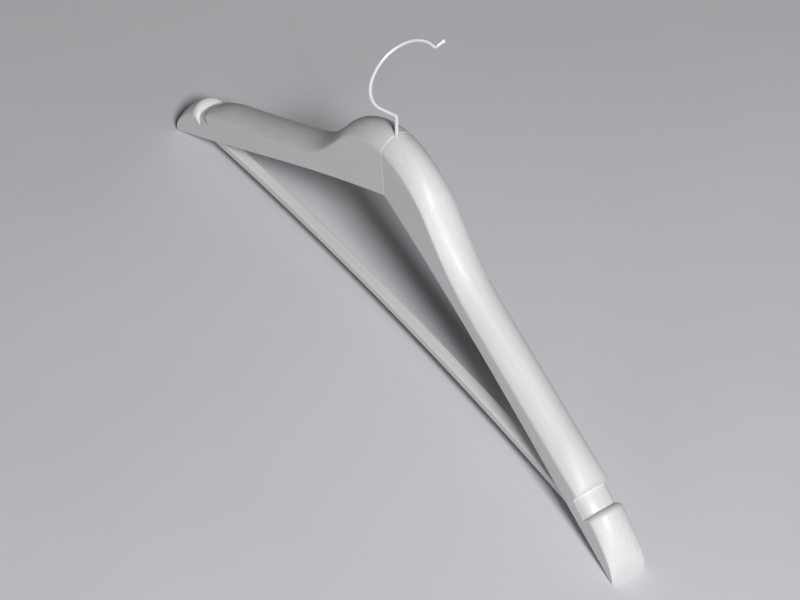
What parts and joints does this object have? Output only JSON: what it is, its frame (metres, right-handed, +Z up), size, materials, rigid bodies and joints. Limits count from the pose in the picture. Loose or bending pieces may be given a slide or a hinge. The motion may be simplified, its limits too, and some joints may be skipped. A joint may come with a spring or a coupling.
{
  "type": "clothes hanger",
  "caption": "Wooden suit hanger: two bowed arms with clothes notches, a trouser bar between them, and a wire hook that swivels in the neck.",
  "frame": {"origin": "the seat of the hook: the point at the top of its inside curve that rests on a rail", "axes": "+Z up, +X along the hanger (left to right seen from the front), -Y to the front, towards which the arms bow"},
  "size_m": [0.445, 0.0497, 0.2108],
  "materials": {
    "arm_lacquer": "white satin lacquer over beech",
    "bar_lacquer": "white satin lacquer over beech",
    "bare_beech": "bare beech",
    "brass": "turned",
    "steel_hardware": "zinc plated",
    "hook_chrome": "bright satin chrome"
  },
  "bodies": {
    "hook": {"hook_wire": "hook_chrome", "hook_end_bead": "hook_chrome", "thrust_washer": "steel_hardware", "stem_collar": "steel_hardware"},
    "hanger": {"left_arm": "arm_lacquer", "right_arm": "arm_lacquer", "seam_dowels": "bare_beech", "trouser_bar": "bar_lacquer", "bar_pins": "steel_hardware", "swivel_bush": "brass"}
  },
  "joints": [
    {"name": "hook_swivel", "type": "hinge", "parent": "hook", "child": "hanger", "pos_m": [0, -0.0048, -0.0718], "axis": [0, 0, 1], "continuous": true}
  ]
}
